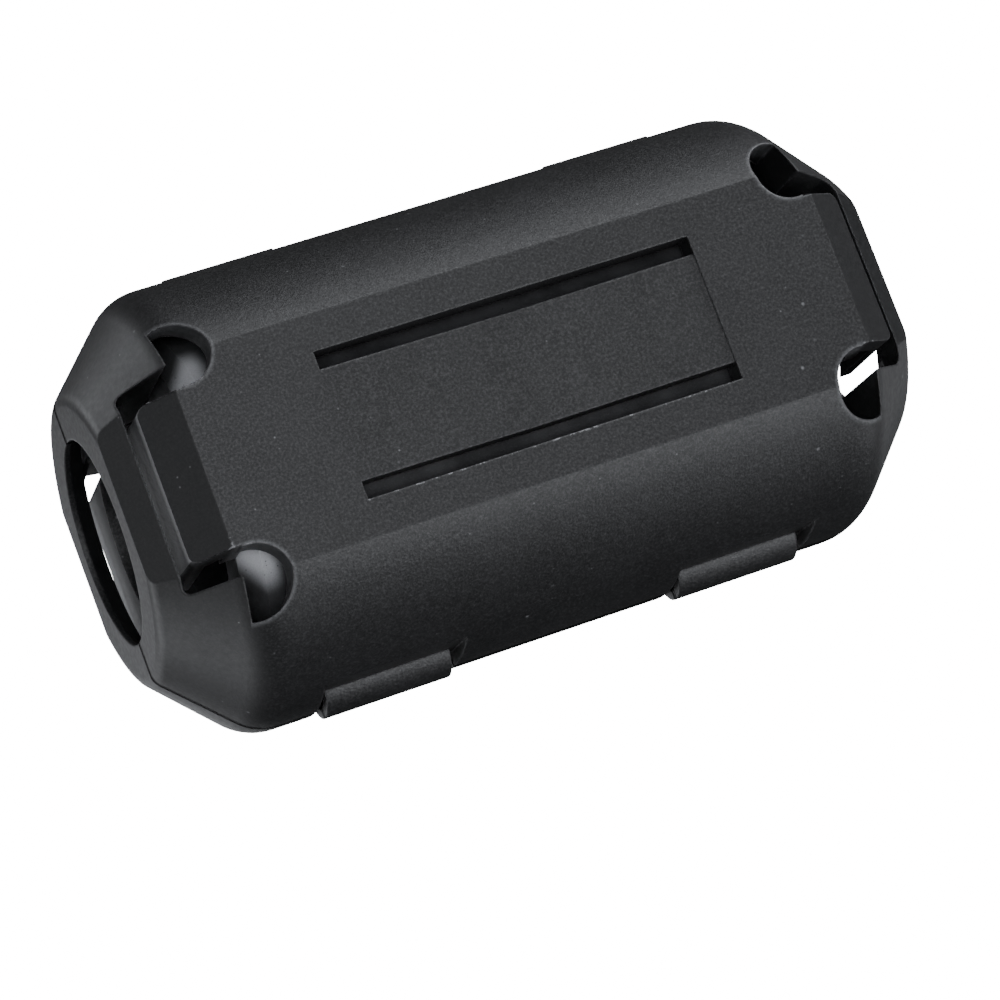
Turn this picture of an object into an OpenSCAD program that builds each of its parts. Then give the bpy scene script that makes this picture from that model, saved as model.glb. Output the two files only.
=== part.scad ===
// Clip-on ferrite bead: a snap case moulded in two halves joined by strap hinges,
// with half a ferrite core in each. X runs along the cable, +Z is up, the hinge
// is at -Y and the latches are at +Y. The origin is the middle of the cable hole.

/* [Case] */
// Length of the case along the cable
case_l = 34.8; // [33:0.2:44]
// Width of the case at the parting plane
case_w = 19.3; // [18.8:0.1:22]
// Height of the closed case
case_h = 17.8; // [17.4:0.1:20]
// Width of the flat top and bottom
flat_w = 9.6; // [9:0.1:12]
// Thickness of the moulded wall
wall = 1.2; // [0.8:0.05:1.3]
// Length of the sloped end of the flat face, along the cable
slope_l = 3.05; // [2.8:0.05:3.4]
// Length of the sloped end of the flank, along the cable
flank_slope_l = 3.4; // [3.1:0.05:3.8]
// Slope of the ends, down from the body towards the cable
slope_deg = 45; // [42:0.5:46]
// Radius of the soft edge between flank and sloped end
shoulder_r = 2.3; // [0.5:0.1:3]
// Radius of the soft rim between the sloped flank and the end face
rim_r = 0.8; // [0.2:0.1:1.2]
// Gap between the two shells at the parting plane
parting_gap = 0.1; // [0.04:0.02:0.2]

/* [Cable hole] */
// Diameter of the hole in each end wall
hole_d = 9; // [7:0.1:9.4]
// Thickness of the lip round the mouth of the hole
lip_t = 0.25; // [0.15:0.05:0.4]
// Width of the flare behind the lip
lip_w = 1.2; // [0.8:0.1:1.3]

/* [Ferrite core] */
// Bore of the core
core_bore_d = 9.5; // [8:0.1:10.5]
// Length of the core
core_l = 27.4; // [24:0.1:27.6]
// Bevel on the outer rim of the core
core_bevel = 0.8; // [0.2:0.1:1.2]
// Bevel at the mouth of the bore
bore_bevel = 0.3; // [0.1:0.1:0.6]
// Clearance between the core and what carries it
core_gap = 0.1; // [0.04:0.02:0.14]
// Air gap between the ground faces of the two half cores
core_air = 0.04; // [0.02:0.01:0.08]

/* [Spring panel] */
// Length of the panel in the flat face
panel_l = 16.9; // [12:0.1:19]
// Width of the panel
panel_w = 4.88; // [4:0.08:5.6]
// Width of the slot along each side of the panel
slot_w = 0.78; // [0.5:0.02:1]
// Thickness of the panel
panel_t = 0.9; // [0.7:0.05:0.9]
// Depth that the panel bows in at its middle
panel_bow = 0.34; // [0.1:0.02:0.34]
// Step down at the +X end of the panel
panel_step = 0.12; // [0.04:0.02:0.2]

/* [Core tongues] */
// Width of the tongue at each end of a shell
tongue_w = 6.8; // [5.6:0.1:7]
// Slope of the tongue, down from the flat face
tongue_deg = 39; // [36:0.5:41]
// Lean of the leg's face, from the tip of the tongue down
tongue_lean = 0.2; // [0.06:0.02:0.3]
// Radius of the tongue's corners
tongue_corner_r = 0.4; // [0.15:0.05:0.6]
// Gap between the leg and the end wall
slit_w = 0.24; // [0.14:0.02:0.3]
// Thickness of the end wall
end_wall = 1.05; // [0.9:0.05:1.3]
// Gap along each side of the tongue at its tip
side_gap = 0.87; // [0.7:0.01:1]
// Gap along each side of the tongue at the corner holes
root_gap = 1.15; // [0.95:0.05:1.4]
// Radius of the outer corners of those gaps
gap_corner_r = 0.4; // [0.2:0.05:0.6]
// Thickness of the leg that hangs from the tip of the tongue
leg_t = 0.9; // [0.6:0.05:1.1]
// Diameter of the passage for the cable between the legs
leg_bore_d = 8.4; // [7.6:0.1:8.8]
// Thickness of the lug under the tongue that bears on the core
lug_t = 0.7; // [0.5:0.05:0.8]
// How far the lug reaches down over the end of the core
lug_h = 1.5; // [1:0.1:1.9]
// Radius of the holes at the corners of the flat face
corner_hole_r = 1.45; // [1.1:0.05:1.5]
// Distance of each corner hole's centre from the end of the case
corner_hole_inset = 3.6; // [3.4:0.1:4]
// Distance of each corner hole's centre from the middle line
corner_hole_y = 4.9; // [4.7:0.1:5]
// Distance of the hole's flat side from its centre
corner_flat = 0.5; // [0.4:0.05:0.9]

/* [Hinge straps] */
// Length of each strap along the hinge line
strap_l = 5.7; // [4:0.1:6.4]
// Distance of each strap's middle from the middle of the case
strap_x = 8.2; // [7:0.1:8.6]
// Thickness of the strap
strap_t = 0.45; // [0.3:0.05:0.6]
// Height of the arched strap on each shell
strap_rise = 1.45; // [1.2:0.05:1.8]
// How far the strap bulges out of its seat
strap_bulge = 0.95; // [0.85:0.05:1.1]
// Depth of the flat seats of the straps and latches below the flank
seat_d = 0.6; // [0.4:0.05:0.65]
// Gap between a strap or latch and the ends of its seat
seat_gap = 0.35; // [0.2:0.05:0.5]

/* [Latches] */
// Length of each latch tab along the case
tab_l = 5; // [4.6:0.1:6.2]
// Distance of each tab's middle from the middle of the case
tab_x = 8.9; // [7:0.1:9.4]
// Thickness of the latch tab
tab_t = 0.6; // [0.5:0.05:0.9]
// How far the tab reaches up the flank of the upper shell
tab_root = 1.2; // [0.8:0.1:1.6]
// How far the tab reaches down over the lower shell
tab_reach = 3.1; // [2.9:0.1:3.2]
// Height of the bar between the window and the tip of the tab
tab_bar = 0.95; // [0.8:0.05:1.1]
// Width of the window in the tab
window_l = 3; // [2.4:0.1:3.8]
// Distance of the window from the parting plane
window_z = 0.5; // [0.3:0.1:0.6]
// Running clearance behind the tab and round the catch
latch_gap = 0.08; // [0.06:0.02:0.14]
// How far the catch stands out of its seat
catch_d = 0.5; // [0.3:0.05:0.55]

/* [Ribs] */
// Thickness of the ribs that carry the core
rib_t = 0.9; // [0.6:0.05:1.2]
// Distance from the middle of the case to the outer ribs
rib_x = 9; // [6:0.5:10]

/* [Hidden] */
$fn = 96;
over = 1;                                   // how far a cutting tool runs past the surface
half_l = case_l / 2;
half_w = case_w / 2;
half_h = case_h / 2;
half_flat = flat_w / 2;
// The flank is an arc through the edge of the flat face, upright at the parting plane
flank_r = (half_h * half_h + (half_w - half_flat) * (half_w - half_flat)) / (2 * (half_w - half_flat));
flank_c = half_w - flank_r;                 // where the centre of the flank's arc lies on the Y axis
shoulder_x = half_l - slope_l;              // where the flat face turns into the sloped end
core_d = case_h - 2 * wall - 2 * core_gap;  // the core fills the case between the flat walls
inner_x = half_l - end_wall;                // inner face of the end wall
seat_y = half_w - seat_d;                   // plane of the flat seats
seat_h = half_h / 2;                        // the seats run out into the flank below this height
leg_x = inner_x - slit_w;                   // outer face of the leg
tip_x = leg_x - tongue_lean;                // upper edge of the tongue's tip
tip_z = half_h - (tip_x - shoulder_x) * tan(tongue_deg);
gap_y = tongue_w / 2 + side_gap;            // outer edge of the gap beside the tongue, at its tip
hole_x = half_l - corner_hole_inset;
root_x = hole_x + corner_flat;              // flat side of the corner holes
root_y = tongue_w / 2 + root_gap;
gap_deg = atan((root_y - gap_y) / (inner_x - root_x));
cut_z = hole_d / 2 + 0.3;                   // the gaps are cut down into the hollow to this height
fold_y = seat_y + strap_bulge;              // the fold line of the straps is the hinge line
strap_r = (strap_rise * strap_rise + strap_bulge * strap_bulge) / (2 * strap_bulge);
core_seat_r = core_d / 2 + core_gap;
tab_y = seat_y + latch_gap;                 // inner face of the tab
bar_z = tab_reach - tab_bar;                // edge of the window that holds the catch
core_end = core_l / 2 + core_gap;           // face of the lugs

plastic = [0.16, 0.16, 0.17];
ferrite = [0.36, 0.36, 0.38];

// Outline of the case from the axis outwards: straight along the body and sloped at both ends,
// with its long side moved in by inset and its ends by thick. The shoulder and the rim are
// softened by circles that touch both of their sides.
module flank_outline(inset, thick, shoulder, rim) {
    top = flank_r - inset;
    x1 = half_l - flank_slope_l - inset * tan(slope_deg / 2);
    x2 = half_l - thick;
    z2 = top - (x2 - x1) * tan(slope_deg);
    back = shoulder * tan(slope_deg / 2);
    low = rim * tan(45 - slope_deg / 2);
    xs = x1 + back * cos(slope_deg);
    zs = top - back * sin(slope_deg);
    xr = x2 - low * cos(slope_deg);
    zr = z2 + low * sin(slope_deg);
    polygon([[x2, 0], [x2, z2 - low], [xr, zr], [xs, zs], [x1 - back, top],
             [back - x1, top], [-xs, zs], [-xr, zr], [-x2, z2 - low], [-x2, 0]]);
    for (s = [-1, 1]) {
        if (shoulder > 0) translate([s * (x1 - back), top - shoulder]) circle(r = shoulder);
        if (rim > 0) translate([s * (x2 - rim), z2 - low]) circle(r = rim);
    }
}

// One flank turned about its own axis
module flank_form(side, inset, thick, shoulder, rim) {
    translate([0, side * flank_c, 0]) rotate([0, 90, 0]) rotate_extrude()
        rotate(90) mirror([0, 1]) flank_outline(inset, thick, shoulder, rim);
}

// Flat top and bottom, sloped at both ends
module slab_form(inset, thick) {
    top = half_h - inset;
    x1 = shoulder_x - inset * tan(slope_deg / 2);
    x2 = half_l - thick;
    z2 = top - (x2 - x1) * tan(slope_deg);
    rotate([90, 0, 0]) linear_extrude(height = case_w, center = true)
        polygon([[x2, z2], [x1, top], [-x1, top], [-x2, z2],
                 [-x2, -z2], [-x1, -top], [x1, -top], [x2, -z2]]);
}

// The closed case as a solid, with its sides moved in by inset and its ends by thick
module case_form(inset, thick, shoulder, rim) {
    intersection() {
        slab_form(inset, thick);
        union() {
            for (s = [-1, 1]) intersection() {
                flank_form(s, inset, thick, shoulder, rim);
                translate([-half_l, s > 0 ? 0 : -half_w, -half_h]) cube([case_l, half_w, case_h]);
            }
        }
    }
}

// Half of the opening round the tongue at the +X end, in plan, from x1 to the end wall: it
// narrows towards the tip and its outer corner is a circle that touches both sides
module tongue_opening(x1, y1) {
    r = gap_corner_r;
    yc = gap_y + r * tan(gap_deg) - r / cos(gap_deg);
    polygon([[x1, y1], [inner_x, y1], [inner_x, yc],
             [inner_x - r + r * sin(gap_deg), yc + r * cos(gap_deg)],
             [x1, root_y + (root_x - x1) * tan(gap_deg)]]);
    translate([inner_x - r, yc]) circle(r = r);
}

// Solid corner between a corner hole, the opening round the tongue and the end wall, in plan
module corner_post() {
    difference() {
        translate([root_x, 0]) square([half_l - root_x, half_w]);
        tongue_opening(root_x - over, -over);
    }
}

// Everything cut through one shell: panel slots, openings round the tongues and corner holes
module face_cuts() {
    for (mx = [0, 1], my = [0, 1]) mirror([mx, 0, 0]) mirror([0, my, 0]) {
        translate([0, 0, cut_z]) linear_extrude(height = half_h) {
            tongue_opening(shoulder_x - 0.15, -over);
            tongue_opening(root_x - 0.3, tongue_w / 2);
        }
        translate([0, 0, core_d / 4]) intersection() {
            translate([hole_x, corner_hole_y, 0]) cylinder(r = corner_hole_r, h = case_h);
            translate([0, 0, -over]) cube([root_x, half_w, case_h * 2]);
        }
    }
    translate([-panel_l / 2, -panel_w / 2 - slot_w, core_seat_r - over])
        cube([panel_l, panel_w + 2 * slot_w, half_h]);
}

// Spring panel: a leaf that bows in to the core at its middle
module spring_panel() {
    e = panel_l / 2 + 0.4;
    z = half_h;
    rotate([90, 0, 0]) linear_extrude(height = panel_w, center = true)
        polygon([[-panel_l / 2, z], [0, z - panel_bow], [panel_l / 2, z - panel_step],
                 [e, z - panel_step], [e, z - panel_step - panel_t],
                 [panel_l / 2, z - panel_step - panel_t], [0, z - panel_bow - panel_t],
                 [-panel_l / 2, z - panel_t], [-e, z - panel_t], [-e, z]]);
}

// Tongue at the +X end: a sloped leaf with a lug that bears on the end of the core, and a leg
// that hangs from its tip down to the passage for the cable. Its tip and its corners are cut
// along the lean of the leg's face.
module tongue() {
    t = wall / cos(tongue_deg);
    under = half_h - t + shoulder_x * tan(tongue_deg);
    lug_x = core_end + lug_t;
    r = tongue_corner_r;
    difference() {
        intersection() {
            rotate([90, 0, 0]) linear_extrude(height = tongue_w + over, center = true)
                polygon([[shoulder_x - 0.6, half_h], [shoulder_x, half_h],
                         [leg_x, half_h - (leg_x - shoulder_x) * tan(tongue_deg)], [leg_x, over],
                         [leg_x - leg_t, over], [leg_x - leg_t, under - (leg_x - leg_t) * tan(tongue_deg)],
                         [lug_x, under - lug_x * tan(tongue_deg)], [lug_x, core_seat_r - lug_h],
                         [core_end, core_seat_r - lug_h], [core_end, core_seat_r],
                         [shoulder_x - 0.6 - lug_t, core_seat_r + 0.4]]);
            translate([tip_x, 0, tip_z]) rotate([0, -atan(tongue_lean / (tip_z - over)), 0])
                linear_extrude(height = 2 * case_h, center = true) {
                    translate([-half_l, -tongue_w / 2]) square([half_l - r, tongue_w]);
                    translate([-2 * r, r - tongue_w / 2]) square([2 * r, tongue_w - 2 * r]);
                    for (y = [r - tongue_w / 2, tongue_w / 2 - r]) translate([-r, y]) circle(r = r);
                }
        }
        rotate([0, 90, 0]) cylinder(d = leg_bore_d, h = case_l);
    }
}

// Half of each arched strap, from the fold line to where it is rooted in the seat
module strap_halves() {
    for (s = [-1, 1]) intersection() {
        translate([s * strap_x, strap_r - fold_y, 0]) rotate([0, 90, 0]) difference() {
            cylinder(r = strap_r, h = strap_l, center = true);
            cylinder(r = strap_r - strap_t, h = strap_l + over, center = true);
        }
        translate([-half_l, -half_w - strap_bulge, core_air / 2])
            cube([case_l, strap_bulge + seat_d + 0.25, case_h]);
    }
}

// Flat seats cut into one flank, for the straps or the latch tabs
module seats(x, l, side) {
    for (s = [-1, 1]) translate([s * x - l / 2 - seat_gap, side > 0 ? seat_y : -seat_y - 2, -over])
        cube([l + 2 * seat_gap, 2, seat_h + over]);
}

// One shell, standing on the parting plane
module shell_body() {
    difference() {
        case_form(0, 0, shoulder_r, rim_r);
        difference() {
            case_form(wall, end_wall, 0, 0);
            for (x = [-rib_x, 0, rib_x], s = [-1, 1]) translate([x, s * (gap_y + half_w / 2), 0])
                cube([rib_t, half_w, case_h], center = true);
            for (mx = [0, 1], my = [0, 1]) mirror([mx, 0, 0]) mirror([0, my, 0])
                linear_extrude(height = case_h) corner_post();
        }
        rotate([0, 90, 0]) cylinder(r = core_seat_r, h = core_l + 2 * core_gap, center = true);
        rotate([0, 90, 0]) cylinder(d = hole_d, h = case_l + over, center = true);
        for (s = [0, 1]) mirror([s, 0, 0]) translate([inner_x - 0.1, 0, 0]) rotate([0, 90, 0])
            cylinder(r1 = hole_d / 2 + lip_w, r2 = hole_d / 2, h = end_wall - lip_t + 0.1);
        face_cuts();
        seats(strap_x, strap_l, -1);
        translate([-case_l, -case_w, parting_gap / 2 - case_h]) cube([2 * case_l, 2 * case_w, case_h]);
    }
    spring_panel();
    for (s = [0, 1]) mirror([s, 0, 0]) tongue();
    strap_halves();
}

// Tab of one latch, rooted on the upper shell, with a window for the catch
module latch_tab() {
    y0 = half_w - wall / 2;
    y2 = tab_y + tab_t;
    difference() {
        rotate([90, 0, 90]) linear_extrude(height = tab_l, center = true)
            polygon([[y0, tab_root + 1], [y2, tab_root], [y2, 0.4 - tab_reach], [y2 - 0.3, -tab_reach],
                     [tab_y, -tab_reach], [tab_y, 0.6], [y0, 0.6]]);
        translate([-window_l / 2, seat_y - over, -bar_z]) cube([window_l, 3, bar_z - window_z]);
    }
}

// Catch on the lower shell: flat below, ramped above
module latch_catch() {
    foot = latch_gap - bar_z;
    rotate([90, 0, 90]) linear_extrude(height = window_l - 2 * latch_gap - 0.2, center = true)
        polygon([[seat_y - 0.3, foot], [seat_y + catch_d, foot], [seat_y + catch_d, foot + 0.35],
                 [seat_y, -window_z - 0.25], [seat_y - 0.3, -window_z - 0.2]]);
}

module lower_shell() {
    color(plastic) {
        difference() {
            mirror([0, 0, 1]) shell_body();
            mirror([0, 0, 1]) seats(tab_x, tab_l, 1);
        }
        for (s = [-1, 1]) translate([s * tab_x, 0, 0]) latch_catch();
    }
}

module upper_shell() {
    color(plastic) {
        shell_body();
        for (s = [-1, 1]) translate([s * tab_x, 0, 0]) latch_tab();
    }
}

// Half of the ferrite core, with its ground face on the parting plane
module core_half() {
    r = core_d / 2;
    b = core_bore_d / 2;
    e = core_l / 2;
    color(ferrite) difference() {
        rotate([0, 90, 0]) rotate_extrude()
            polygon([[b + bore_bevel, -e], [r - core_bevel, -e], [r, core_bevel - e], [r, e - core_bevel],
                     [r - core_bevel, e], [b + bore_bevel, e], [b, e - bore_bevel], [b, bore_bevel - e]]);
        translate([-core_l, -core_d, core_air / 2 - core_d]) cube([2 * core_l, 2 * core_d, core_d]);
    }
}
module upper_core() { core_half(); }
module lower_core() { mirror([0, 0, 1]) core_half(); }

lower_shell();
upper_shell();
lower_core();
upper_core();
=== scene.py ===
"""Clip-on ferrite bead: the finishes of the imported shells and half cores, the thin web of each
strap, and the studio.

Meshes are in metres in the part's own frame: X along the cable, +Z up, the hinge straps at -Y.
The sizes named below are millimetres of that frame unless their comment says otherwise.
"""

import bpy
import numpy as np
from mathutils import Matrix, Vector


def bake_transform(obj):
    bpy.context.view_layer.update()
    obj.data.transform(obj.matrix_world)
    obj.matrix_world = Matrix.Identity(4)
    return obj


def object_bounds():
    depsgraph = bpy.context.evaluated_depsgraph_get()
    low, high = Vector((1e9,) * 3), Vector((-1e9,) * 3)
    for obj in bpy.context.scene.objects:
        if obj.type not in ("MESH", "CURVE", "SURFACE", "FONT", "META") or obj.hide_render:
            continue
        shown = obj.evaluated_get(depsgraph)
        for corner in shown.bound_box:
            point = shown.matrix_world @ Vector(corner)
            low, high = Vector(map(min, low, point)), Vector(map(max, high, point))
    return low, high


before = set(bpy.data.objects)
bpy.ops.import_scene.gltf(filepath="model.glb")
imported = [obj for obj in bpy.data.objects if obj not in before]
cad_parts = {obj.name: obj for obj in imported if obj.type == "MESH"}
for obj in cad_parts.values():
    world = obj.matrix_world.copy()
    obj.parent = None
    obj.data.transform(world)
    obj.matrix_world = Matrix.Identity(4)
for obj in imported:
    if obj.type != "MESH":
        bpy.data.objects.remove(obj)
cad_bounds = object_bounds()
scene = bpy.context.scene
MM = 0.001                              # a millimetre in metres
WHITE = (1.0, 1.0, 1.0, 1.0)
WHITE_GLOW = 16.0                       # strength at which a glowing white comes out pure white


def axes_at(x, y, z, place):
    """Matrix of an object with its own axes along x, y and z, at a place in millimetres."""
    m = np.eye(4)
    m[:3, 0], m[:3, 1], m[:3, 2], m[:3, 3] = x, y, z, np.array(place) * MM
    return Matrix(m.tolist())


# ---------------------------------------------------------------- camera

# Where the camera stands: azimuth and elevation from the part, its roll, the focal length in
# image widths, its distance and its sideways offset, for a square image.
AZIMUTH, ELEVATION, ROLL = np.radians((-63.1101, 70.5363, 43.6253))
FOCAL, DISTANCE, OFFSET_X, OFFSET_Y = 3.8876, 167.4, 0.790, -3.366
SENSOR = 36.0
CLIP_NEAR, CLIP_FAR = 0.005, 10.0       # in metres


def place_camera():
    """Camera axes from azimuth, elevation and roll: it stands along d from the part and looks
    back down d. Before the roll its right is level, and its top is d crossed with that."""
    d = np.array((np.sin(AZIMUTH) * np.cos(ELEVATION),
                  -np.cos(AZIMUTH) * np.cos(ELEVATION),
                  np.sin(ELEVATION)))
    level = np.array((np.cos(AZIMUTH), np.sin(AZIMUTH), 0.0))
    over = np.cross(d, level)
    right = np.cos(ROLL) * level + np.sin(ROLL) * over
    up = np.cos(ROLL) * over - np.sin(ROLL) * level
    data = bpy.data.cameras.new("camera")
    data.sensor_width = SENSOR
    data.lens = SENSOR * FOCAL
    data.clip_start, data.clip_end = CLIP_NEAR, CLIP_FAR
    camera = bpy.data.objects.new("camera", data)
    camera.matrix_world = axes_at(right, up, d, OFFSET_X * right + OFFSET_Y * up + DISTANCE * d)
    scene.collection.objects.link(camera)
    scene.camera = camera


# ---------------------------------------------------------------- node helpers

NOISE_SPREAD = (0.3, 0.7)


class Nodes:
    """Builds a node tree with short calls. A value for a socket is another node's socket, which
    is linked to it, or a number, vector or colour, which is set on the socket itself."""

    def __init__(self, tree):
        self.tree = tree
        tree.nodes.clear()

    def feed(self, socket, value):
        if isinstance(value, bpy.types.NodeSocket):
            self.tree.links.new(value, socket)
        else:
            socket.default_value = value

    def new(self, kind, inputs=None, **settings):
        """Adds a node with these settings, and these values for its sockets by name or number."""
        node = self.tree.nodes.new(kind)
        for key, value in settings.items():
            setattr(node, key, value)
        for key, value in (inputs or {}).items():
            self.feed(node.inputs[key], value)
        return node

    def math(self, operation, *values):
        node = self.new("ShaderNodeMath", operation=operation)
        for socket, value in zip(node.inputs, values):
            self.feed(socket, value)
        return node.outputs[0]

    def times(self, product, *factors):
        for factor in factors:
            product = self.math("MULTIPLY", product, factor)
        return product

    def ramp(self, value, low, high, to_low=0.0, to_high=1.0, curve="SMOOTHSTEP"):
        """From to_low, where the value is at low or short of it, to to_high, where it is at high
        or past it, on a smooth or a straight (LINEAR) curve."""
        return self.new("ShaderNodeMapRange",
                        {"Value": value, "From Min": low, "From Max": high,
                         "To Min": to_low, "To Max": to_high},
                        interpolation_type=curve).outputs["Result"]

    def fade(self, value, low, high):
        """From 1 at low to 0 at high."""
        return self.ramp(value, low, high, 1.0, 0.0)

    def between(self, mask, bare, full):
        """A setting that is bare where the mask is 0, and full where it is 1."""
        return self.ramp(mask, 0.0, 1.0, bare, full)

    def mix(self, cover, under, over):
        """The colour under, covered by the colour over where the cover is 1."""
        return self.new("ShaderNodeMix", {0: cover, 6: under, 7: over},
                        data_type="RGBA").outputs[2]

    def noise(self, vector, scale, detail, roughness=0.5):
        """Cloudy noise round 0.5, nearly all of it within NOISE_SPREAD."""
        return self.new("ShaderNodeTexNoise", {"Vector": vector, "Scale": scale, "Detail": detail,
                                               "Roughness": roughness}).outputs[0]

    def cells(self, vector, scale):
        """Scattered cells: Distance runs out from each centre, Color is random for each cell."""
        return self.new("ShaderNodeTexVoronoi", {"Vector": vector, "Scale": scale,
                                                 "Randomness": 1.0}).outputs

    def place_mm(self):
        """Object coordinates in millimetres."""
        place = self.new("ShaderNodeTexCoord").outputs["Object"]
        return self.new("ShaderNodeVectorMath", {0: place, "Scale": 1.0 / MM},
                        operation="SCALE").outputs["Vector"]

    def parts(self, vector):
        """The x, y and z of a vector."""
        return self.new("ShaderNodeSeparateXYZ", {"Vector": vector}).outputs


def new_material(name):
    material = bpy.data.materials.new(name)
    material.use_nodes = True
    return material, Nodes(material.node_tree)


def grey(tone):
    """A grey with a little more blue, by how much light it gives back."""
    return (tone, tone * 1.01, tone * 1.045, 1.0)


# ---------------------------------------------------------------- black nylon of the case

# Where the finish follows the shape, measured from the middle of the part.
HOLE_X, HOLE_Y = 13.8, 4.9              # centre of a corner hole
HOLE_R, HOLE_FLAT = 1.45, 0.5           # its radius, and how far out its flat side is
RIM_IN, RIM_OUT = (-0.12, 0.0), (0.02, 0.22)    # its painted highlight fades in and out, past the radius
RIM_HEIGHT, RIM_PAST_FLAT = (5.4, 6.0), 0.05    # the painted highlight fades in upwards, and stops at the flat
SLOT_EDGE, SLOT_BAND = 3.22, 0.3        # outer edge of the slots, and a band to each side of it
FLAT_FACE = 8.6                         # only the flat face is higher than this
LEG_INNER, LEG_OUTER = (15.3, 15.5), (16.2, 16.3)    # a tongue's leg lies between these
SEAM_SHADE_HEIGHT = (0.16, 0.28)              # painted shade of the gap where the shells meet fades out here
EDGE_RADIUS = 0.14                      # softening of sharp edges
RELIEF = 0.05                           # depth of the grain, also of the ferrite's

# How a face leans along the cable, as the size of the x part of its normal.
SLOPED = (0.15, 0.55)                   # from the barrel to the fully sloped ends
FACET_LEAN, FACET_SIDEWAYS = (0.55, 0.80), 0.04      # the flat tongues and end facets
LEG_LEAN = 0.9                          # faces that look straight along the cable

# Patterns: patches per millimetre, fine detail, roughness of the detail.
NYLON_CLOUD = (0.35, 3.0, 0.6)
NYLON_MOTTLE = (4.5, 4.0, 0.7)
NYLON_GRAIN = (9.0, 3.0, 0.75)
NYLON_TEAR = (2.6, 3.0, 0.7)
PORES = 9.0                             # cells per millimetre
SPECKS = ((0.9, 0.10, 0.80), (1.7, 0.11, 0.72))      # cells per mm, radius, share left plain
SPECK_CORE = 0.02                       # a speck is whole within this, in cells

# Where a finish begins and where it is whole: in a pattern, or in the agreement of the rounded
# normal with the true one, which is 1 on a plain face and less on an edge.
GRAIN_PEAKS, SPARKLE_SPREAD = (0.50, 0.72), (0.32, 0.68)
EDGE_HIGHLIGHT_BEND, EDGE_HIGHLIGHT_PATCHES = (0.995, 0.80), (0.40, 0.60)
CRUMB_HIGHLIGHT_BEND, CRUMB_HIGHLIGHT_PATCHES = (0.998, 0.95), (0.54, 0.62)
RIM_HIGHLIGHT_PATCHES, RIM_HIGHLIGHT_LEAST = (0.35, 0.55), 0.45          # least share of the painted rim highlight between patches
LEG_LIGHT_PATCHES, LEG_LIGHT_LEAST = (0.3, 0.6), 0.6

# Tones, by how much light they give back; those over the body with how much of it they hide.
BODY_DARK, BODY_LIGHT = 0.0048, 0.0072
# The edge and rim tones are painted highlights, the leg tone is painted light, the crumb tone is
# crumbs with a painted highlight, and the seam tone is painted shade.
GRAIN, FACET, EDGE_HIGHLIGHT, RIM_HIGHLIGHT = (1.0, 0.018), (0.5, 0.0021), (0.6, 0.045), (0.9, 0.055)
LEG_PAINTED_LIGHT, SPECK, CRUMB_AND_HIGHLIGHT, SEAM_SHADE = (1.0, 0.10), (0.8, 0.11), (0.9, 0.20), (1.0, 0.0008)

# Settings on the grained body and on the smoother sloped ends.
GRAIN_SHARE, SPARKLE_SHARE, BUMP = (0.8, 0.25), (1.0, 0.35), (0.28, 0.08)
GRAIN_RELIEF, PORE_RELIEF = 0.6, 0.5    # shares of the two patterns in the relief
NYLON_ROUGHNESS, FACET_POLISH = (0.45, 0.57), 0.08
NYLON_SHINE, SPARKLE = 0.40, 0.10       # specular level, and how far the grain moves it
SEAM_SHADE_SHINE = 0.1                        # what is left of the shine in the painted seam shade


def face_masks(n, true_normal, along):
    """Three masks from the lean of the true face: sloped along the cable; facet, which leans
    within set limits and not sideways; and leg, which looks along the cable in a leg's reach."""
    local = n.new("ShaderNodeVectorTransform", {"Vector": true_normal}, vector_type="NORMAL",
                  convert_from="WORLD", convert_to="OBJECT").outputs[0]
    way = n.parts(local)
    lean, sideways = n.math("ABSOLUTE", way[0]), n.math("ABSOLUTE", way[1])
    sloped = n.ramp(lean, *SLOPED)
    facet = n.times(n.math("LESS_THAN", sideways, FACET_SIDEWAYS),
                    n.math("GREATER_THAN", lean, FACET_LEAN[0]),
                    n.math("LESS_THAN", lean, FACET_LEAN[1]))
    leg = n.times(n.math("GREATER_THAN", lean, LEG_LEAN),
                  n.ramp(along, *LEG_INNER), n.fade(along, *LEG_OUTER))
    return sloped, facet, leg


def speck_mask(n, mm):
    """Specks of two sizes: the centres of a few cells of a wide pattern."""
    mask = None
    for scale, radius, plain in SPECKS:
        seeds = n.cells(mm, scale)
        lot = n.new("ShaderNodeSeparateColor", {"Color": seeds["Color"]}).outputs[0]
        dot = n.times(n.fade(seeds["Distance"], SPECK_CORE, radius), n.ramp(lot, plain, 1.0))
        mask = dot if mask is None else n.math("MAXIMUM", mask, dot)
    return mask


def hole_rim_mask(n, along, across, height):
    """Mask of the painted rim highlight: a thin ring round each corner hole, by the distance from
    the hole's centre in plan: the root of the sum of the squares. It stops at the hole's flat side
    and low on the flank."""
    dx, dy = n.math("SUBTRACT", along, HOLE_X), n.math("SUBTRACT", across, HOLE_Y)
    off = n.math("SQRT", n.math("ADD", n.times(dx, dx), n.times(dy, dy)))
    return n.times(n.ramp(off, *(HOLE_R + d for d in RIM_IN)),
                   n.fade(off, *(HOLE_R + d for d in RIM_OUT)),
                   n.math("LESS_THAN", along, HOLE_X + HOLE_FLAT + RIM_PAST_FLAT),
                   n.ramp(height, *RIM_HEIGHT))


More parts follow.
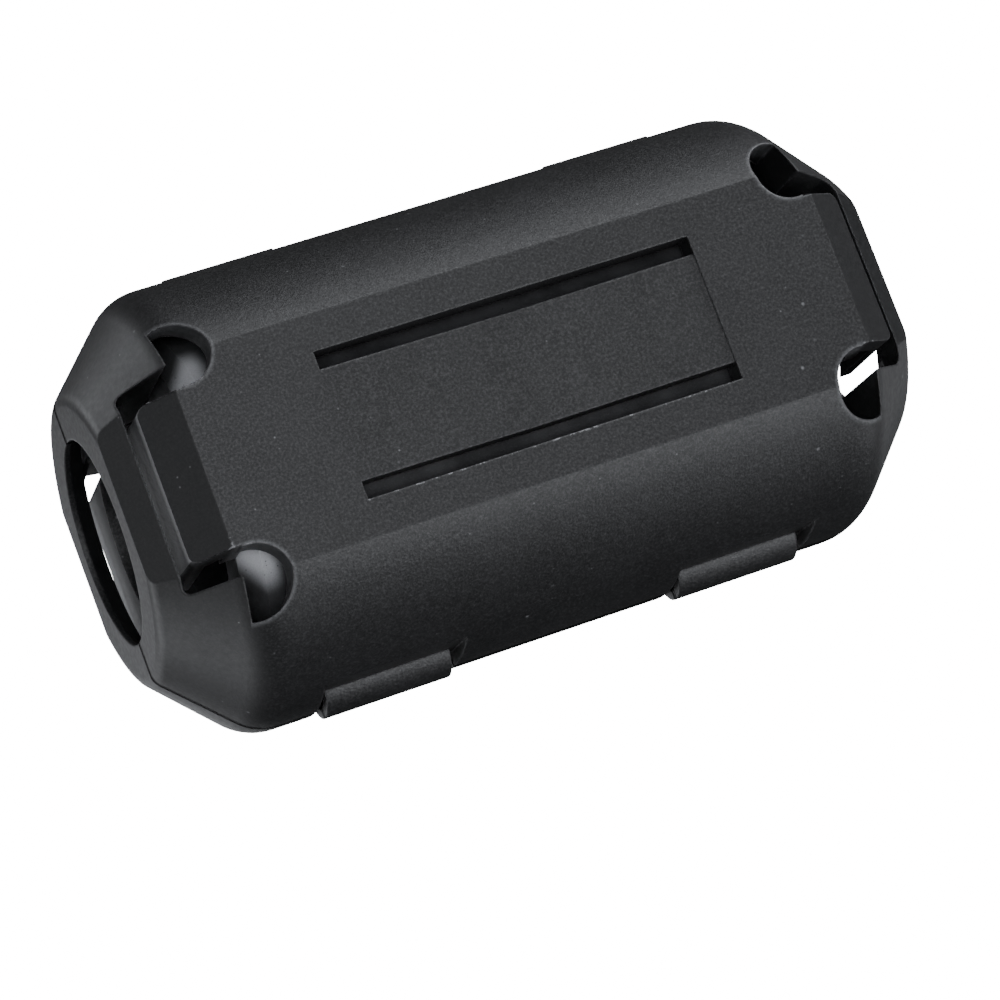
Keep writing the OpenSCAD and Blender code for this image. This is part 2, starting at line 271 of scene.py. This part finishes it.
def nylon_material():
    """Matte black nylon from a spark-eroded mould: fine sparkling grain on the body, smoother
    sloped ends, cloudy tone, sparse light specks, softened edges with painted highlights,
    painted highlights on the upper rims round the corner holes, painted light on the leg faces,
    crumbs with a painted highlight along one slot and painted shade where the shells meet."""
    material, n = new_material("black_nylon")
    mm = n.place_mm()
    cloud, mottle = n.noise(mm, *NYLON_CLOUD), n.noise(mm, *NYLON_MOTTLE)
    grain, tear = n.noise(mm, *NYLON_GRAIN), n.noise(mm, *NYLON_TEAR)
    pores = n.cells(mm, PORES)["Distance"]
    place = n.parts(mm)
    along, across, height = (n.math("ABSOLUTE", part) for part in place)
    true_normal = n.new("ShaderNodeNewGeometry").outputs["True Normal"]
    sloped, facet, leg = face_masks(n, true_normal, along)

    # painted edge highlight: where the rounded normal bends away from the true one, in patches
    rounded = n.new("ShaderNodeBevel", {"Radius": EDGE_RADIUS * MM}, samples=6).outputs[0]
    agree = n.new("ShaderNodeVectorMath", {0: rounded, 1: true_normal},
                  operation="DOT_PRODUCT").outputs["Value"]
    edge_highlight = n.times(n.ramp(agree, *EDGE_HIGHLIGHT_BEND), n.ramp(mottle, *EDGE_HIGHLIGHT_PATCHES))
    # torn plastic crumbs and a painted highlight along the slot's outer edge, strap side
    crumb_and_highlight = n.times(n.ramp(agree, *CRUMB_HIGHLIGHT_BEND), n.ramp(tear, *CRUMB_HIGHLIGHT_PATCHES),
                    n.math("GREATER_THAN", height, FLAT_FACE),
                    n.math("COMPARE", place[1], -SLOT_EDGE, SLOT_BAND))
    # painted highlight on the upper part of the rims round the corner holes
    rim_highlight = n.times(hole_rim_mask(n, along, across, height),
                  n.ramp(mottle, *RIM_HIGHLIGHT_PATCHES, RIM_HIGHLIGHT_LEAST, 1.0))
    # painted shade of the gap where the shells meet; it also takes away most of the shine
    seam_shade = n.fade(height, *SEAM_SHADE_HEIGHT)

    tone = n.mix(n.ramp(cloud, *NOISE_SPREAD), grey(BODY_DARK), grey(BODY_LIGHT))
    for mask, (share, over) in (
            (n.times(n.ramp(grain, *GRAIN_PEAKS), n.between(sloped, *GRAIN_SHARE)), GRAIN),
            (facet, FACET),
            (edge_highlight, EDGE_HIGHLIGHT),
            (rim_highlight, RIM_HIGHLIGHT),
            # painted light on the leg faces, in patches
            (n.times(leg, n.ramp(mottle, *LEG_LIGHT_PATCHES, LEG_LIGHT_LEAST, 1.0)), LEG_PAINTED_LIGHT),
            (speck_mask(n, mm), SPECK),
            (crumb_and_highlight, CRUMB_AND_HIGHLIGHT),
            (seam_shade, SEAM_SHADE)):
        tone = n.mix(n.times(mask, share), tone, grey(over))

    relief = n.math("ADD", n.times(grain, GRAIN_RELIEF), n.times(pores, PORE_RELIEF))
    bump = n.new("ShaderNodeBump", {"Height": relief, "Strength": n.between(sloped, *BUMP),
                                    "Distance": RELIEF * MM, "Normal": rounded}).outputs[0]
    roughness = n.math("SUBTRACT",
                       n.ramp(mottle, *NOISE_SPREAD, *NYLON_ROUGHNESS, curve="LINEAR"),
                       n.times(facet, FACET_POLISH))
    sparkle = n.times(n.ramp(grain, *SPARKLE_SPREAD, -SPARKLE, SPARKLE),
                      n.between(sloped, *SPARKLE_SHARE))
    shine = n.times(n.math("ADD", sparkle, NYLON_SHINE), n.between(seam_shade, 1.0, SEAM_SHADE_SHINE))
    skin = n.new("ShaderNodeBsdfPrincipled", {"Base Color": tone, "Roughness": roughness,
                                              "Normal": bump, "Specular IOR Level": shine})
    n.new("ShaderNodeOutputMaterial", {"Surface": skin.outputs[0]})
    return material


# ---------------------------------------------------------------- ferrite of the core

FERRITE_CLOUD = (0.6, 4.0, 0.6)         # patches per millimetre, detail, its roughness
FERRITE_GRAIN = (14.0, 2.0, 0.7)
CLOUD_EDGE, GRAIN_EDGE = (0.35, 0.65), (0.5, 0.75)
PITS, PIT_EDGE = 3.0, (0.05, 0.12)      # cells per millimetre, and the edge of a pit in them
CORE_HIGHLIGHT_ALONG, CORE_HIGHLIGHT_HEIGHT = (11.9, 12.7), (5.25, 6.25)    # where the painted highlight lies on the tumbled rims
CORE_HIGHLIGHT_TILT = 0.05                        # how much more of the painted highlight shows towards the latches
CORE_HIGHLIGHT_PATCHES, CORE_HIGHLIGHT_LEAST = (0.3, 0.6), 0.85
CORE_DARK, CORE_LIGHT = 0.022, 0.034
CORE_GRAIN, CORE_HIGHLIGHT, PIT = (0.4, 0.06), (1.0, 0.40), (0.7, 0.012)    # how much they hide, and tone
CORE_ROUGHNESS, CORE_SHINE, CORE_BUMP = (0.28, 0.42), (0.35, 1.0), 0.25
CORE_GRAIN_RELIEF, PIT_RELIEF = 0.5, 0.8


def ferrite_material():
    """Sintered ferrite: near-black skin with a dull mineral gloss and small pits. The tumbled
    rims of its ends carry a pale grey painted highlight high up, and the bore stays dark."""
    material, n = new_material("ferrite")
    mm = n.place_mm()
    cloud, grain = n.noise(mm, *FERRITE_CLOUD), n.noise(mm, *FERRITE_GRAIN)
    pit = n.fade(n.cells(mm, PITS)["Distance"], *PIT_EDGE)
    place = n.parts(mm)
    along, height = n.math("ABSOLUTE", place[0]), n.math("ABSOLUTE", place[2])
    # mask of the painted highlight high up on the rims of the core's ends
    tilted = n.math("ADD", height, n.times(place[1], CORE_HIGHLIGHT_TILT))
    core_highlight = n.times(n.ramp(along, *CORE_HIGHLIGHT_ALONG), n.ramp(tilted, *CORE_HIGHLIGHT_HEIGHT))
    tone = n.mix(n.ramp(cloud, *CLOUD_EDGE), grey(CORE_DARK), grey(CORE_LIGHT))
    for mask, (share, over) in (
            (n.ramp(grain, *GRAIN_EDGE), CORE_GRAIN),
            (n.times(core_highlight, n.ramp(grain, *CORE_HIGHLIGHT_PATCHES, CORE_HIGHLIGHT_LEAST, 1.0)), CORE_HIGHLIGHT),
            (pit, PIT)):
        tone = n.mix(n.times(mask, share), tone, grey(over))
    relief = n.math("SUBTRACT", n.times(grain, CORE_GRAIN_RELIEF), n.times(pit, PIT_RELIEF))
    bump = n.new("ShaderNodeBump", {"Height": relief, "Strength": CORE_BUMP,
                                    "Distance": RELIEF * MM}).outputs[0]
    # the painted highlight is also shinier
    skin = n.new("ShaderNodeBsdfPrincipled", {
        "Base Color": tone, "Normal": bump,
        "Roughness": n.ramp(cloud, *NOISE_SPREAD, *CORE_ROUGHNESS, curve="LINEAR"),
        "Specular IOR Level": n.between(core_highlight, *CORE_SHINE)})
    n.new("ShaderNodeOutputMaterial", {"Surface": skin.outputs[0]})
    return material


def dress(node, material):
    """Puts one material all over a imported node."""
    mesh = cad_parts[node].data
    mesh.materials.clear()
    mesh.materials.append(material)


# ---------------------------------------------------------------- the thin web of each strap

STRAP_X, STRAP_L = 8.2, 5.7             # middle and length of a strap along the hinge line
FOLD_Y, STRAP_R, STRAP_T = 10.0, 1.5816, 0.45    # fold line, outer radius of the arch, thickness
WEB_ANGLE = 0.30                        # radians that the web follows the arch to each side
WEB_INSET = 0.015                       # how far the web stays inside the strap's own faces
WEB_ARC_POINTS, WEB_LONG_POINTS = 17, 9


def strap_web(side):
    """Closed sheet on the strap's arch: point (angle a, radius r, x) lies at y = centre - r cos a,
    z = r sin a. The outline of the section runs out along the outer arc and back along the inner
    one, and is carried along x. A cap of strips between the arcs closes each end."""
    centre = STRAP_R - FOLD_Y
    outer, inner = STRAP_R - WEB_INSET, STRAP_R - STRAP_T + WEB_INSET
    a = np.linspace(-WEB_ANGLE, WEB_ANGLE, WEB_ARC_POINTS)
    angle = np.concatenate((a, a[::-1]))
    radius = np.concatenate((np.full(a.size, outer), np.full(a.size, inner)))
    x = np.linspace(-0.5, 0.5, WEB_LONG_POINTS) * (STRAP_L - 2 * WEB_INSET) + side * STRAP_X
    section = np.stack((centre - radius * np.cos(angle), radius * np.sin(angle)), 1)
    count = section.shape[0]
    points = np.empty((x.size, count, 3))
    points[..., 0] = x[:, None]
    points[..., 1:] = section[None]
    i, j = np.meshgrid(np.arange(x.size - 1), np.arange(count), indexing="ij")
    k = (j + 1) % count
    walls = np.stack((i * count + j, i * count + k, (i + 1) * count + k, (i + 1) * count + j), -1)
    strip = np.arange(a.size - 1)
    near = np.stack((strip, count - 1 - strip, count - 2 - strip, strip + 1), 1)
    far = near[:, ::-1] + (x.size - 1) * count
    faces = np.concatenate((walls.reshape(-1, 4), near, far))
    mesh = bpy.data.meshes.new("strap_web")
    mesh.from_pydata((points.reshape(-1, 3) * MM).tolist(), [], faces.tolist())
    mesh.validate()
    web = bpy.data.objects.new("strap_web_left" if side < 0 else "strap_web_right", mesh)
    scene.collection.objects.link(web)
    return web


# ---------------------------------------------------------------- floor and light

FLOOR_REACH = 1.5                       # from the middle to each side, in metres
PAPER_DARK, PAPER_LIGHT = (0.90, 0.90, 0.90, 1.0), (0.93, 0.93, 0.93, 1.0)
PAPER_FIBRE = (900.0, 3.0)              # fibres per metre, detail
PAPER_ROUGHNESS, PAPER_SHINE = 0.9, 0.1
BOX_COLOUR = (0.965, 0.985, 1.03)
STEEP = 0.99                            # upright part of the direction of a light overhead
WORLD_GLOW = 0.004                      # what the white backdrop sheds on the part

# Softboxes: place, width, and power in watts.
SOFTBOXES = {
    "camfill_box": ((-95, -50, 300), 150, 0.86),
    "farright_box": ((240, 180, 80), 110, 0.70),
    "nearright_box": ((220, -200, 60), 110, 0.30),
    "farhigh_box": ((60, 200, 210), 150, 0.40),
    "near_box": ((90, -205, 210), 130, 0.66),
    "far_box": ((80, 280, 90), 110, 0.29),
    "leftbelow_box": ((-240, -60, -180), 120, 0.265),
    "leftfarbelow_box": ((-200, 180, -130), 120, 0.31),
    "nearleftbelow_box": ((-200, -180, -120), 120, 0.19),
    "below_box": ((-30, 0, -300), 150, 0.135),
    "left_box": ((-290, 30, 90), 140, 0.0909),
    "right_box": ((300, 20, 60), 140, 0.0582),
    "rightbelow_box": ((250, -40, -150), 120, 0.0464),
}


def build_floor():
    """Pale floor under the flat bottom face, clear from beneath. The bead neither reflects it
    nor is lit by it: the softboxes that stand below the floor shine through it instead."""
    z = float(cad_bounds[0][2])
    s = FLOOR_REACH
    mesh = bpy.data.meshes.new("floor")
    mesh.from_pydata([(-s, -s, z), (s, -s, z), (s, s, z), (-s, s, z)], [], [(0, 1, 2, 3)])
    floor = bpy.data.objects.new("floor", mesh)
    scene.collection.objects.link(floor)
    material, n = new_material("floor_paper")
    place = n.new("ShaderNodeTexCoord").outputs["Object"]
    fibre = n.ramp(n.noise(place, *PAPER_FIBRE), *NOISE_SPREAD)
    tone = n.mix(fibre, PAPER_DARK, PAPER_LIGHT)
    paper = n.new("ShaderNodeBsdfPrincipled", {
        "Base Color": tone, "Roughness": PAPER_ROUGHNESS, "Specular IOR Level": PAPER_SHINE,
        "Emission Color": WHITE, "Emission Strength": WHITE_GLOW})
    clear = n.new("ShaderNodeBsdfTransparent", {"Color": WHITE})
    beneath = n.new("ShaderNodeNewGeometry").outputs["Backfacing"]
    sheet = n.new("ShaderNodeMixShader", {0: beneath, 1: paper.outputs[0], 2: clear.outputs[0]})
    n.new("ShaderNodeOutputMaterial", {"Surface": sheet.outputs[0]})
    mesh.materials.append(material)
    floor.visible_glossy = False
    floor.visible_diffuse = False
    floor.visible_shadow = False


def softbox(name, place, width, power):
    """Square area light, turned to the middle of the part: its z points away from the middle,
    its x is level (along the cable for a light straight above or below), and its y is z crossed
    with x."""
    data = bpy.data.lights.new(name, "AREA")
    data.shape, data.size = "SQUARE", width * MM
    data.energy, data.color = power, BOX_COLOUR
    light = bpy.data.objects.new(name, data)
    z = np.array(place, float)
    z /= np.linalg.norm(z)
    x = np.cross((0.0, 0.0, 1.0), z) if abs(z[2]) < STEEP else np.array((1.0, 0.0, 0.0))
    x /= np.linalg.norm(x)
    light.matrix_world = axes_at(x, np.cross(z, x), z, place)
    scene.collection.objects.link(light)


def build_world():
    """White backdrop for the camera that sheds hardly any light on the part."""
    world = bpy.data.worlds.new("studio")
    world.use_nodes = True
    n = Nodes(world.node_tree)
    seen = n.new("ShaderNodeLightPath").outputs["Is Camera Ray"]
    glow = n.between(seen, WORLD_GLOW, WHITE_GLOW)
    back = n.new("ShaderNodeBackground", {"Color": WHITE, "Strength": glow})
    n.new("ShaderNodeOutputWorld", {"Surface": back.outputs[0]})
    scene.world = world


# ---------------------------------------------------------------- the scene

place_camera()
nylon = nylon_material()
for shell in ("lower_shell", "upper_shell"):
    dress(shell, nylon)
ferrite = ferrite_material()
for core in ("lower_core", "upper_core"):
    dress(core, ferrite)
for side in (-1, 1):
    web = strap_web(side)
    web.data.materials.append(nylon)
    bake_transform(web)
build_floor()
for name, (place, width, power) in SOFTBOXES.items():
    softbox(name, place, width, power)
build_world()
